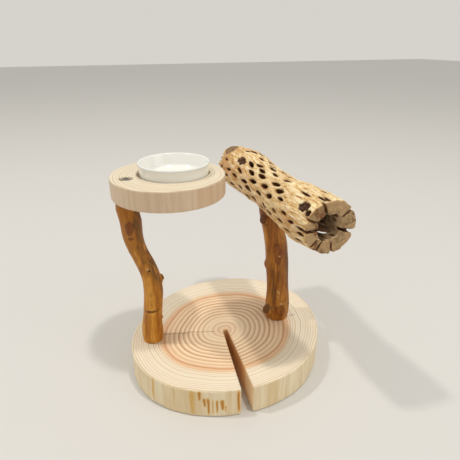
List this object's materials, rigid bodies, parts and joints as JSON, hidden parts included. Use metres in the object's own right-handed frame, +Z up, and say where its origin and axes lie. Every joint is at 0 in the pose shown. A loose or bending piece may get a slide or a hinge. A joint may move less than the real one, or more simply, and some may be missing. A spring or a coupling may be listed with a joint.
{
  "type": "tabletop bird feeding and perch stand",
  "caption": "Tabletop feeding and perch stand: a log-slice base with branch posts, a round wooden shelf that holds a white dish, and a pierced cactus-wood tube as the perch.",
  "frame": {"origin": "centre of the log slice on its underside, where the stand rests on a surface", "axes": "+Z up, +Y along the perch tube towards its back end, +X from the shelf towards the perch tube"},
  "size_m": [0.2102, 0.203, 0.2156],
  "materials": {
    "base_wood": "sanded, unvarnished",
    "shelf_wood": "sanded, unvarnished",
    "shelf_post_wood": "peeled, satin",
    "perch_post_wood": "peeled, satin",
    "cactus_wood": "dry, matte",
    "white_glaze": "glossy glaze",
    "screw_steel": "dark, dull"
  },
  "bodies": {
    "stand": {"base_slab": "base_wood", "shelf_post": "shelf_post_wood", "perch_post": "perch_post_wood", "shelf_disc": "shelf_wood", "perch_tube": "cactus_wood", "perch_washer": "screw_steel", "shelf_screw": "screw_steel", "perch_screw": "screw_steel", "shelf_post_screw": "screw_steel", "perch_post_screw": "screw_steel"},
    "loose_dish": {"dish": "white_glaze"}
  },
  "joints": [
    {"name": "dish_lift", "type": "slide", "parent": "stand", "child": "loose_dish", "axis": [0, 0, 1], "range_m": [0, 0.05]}
  ]
}
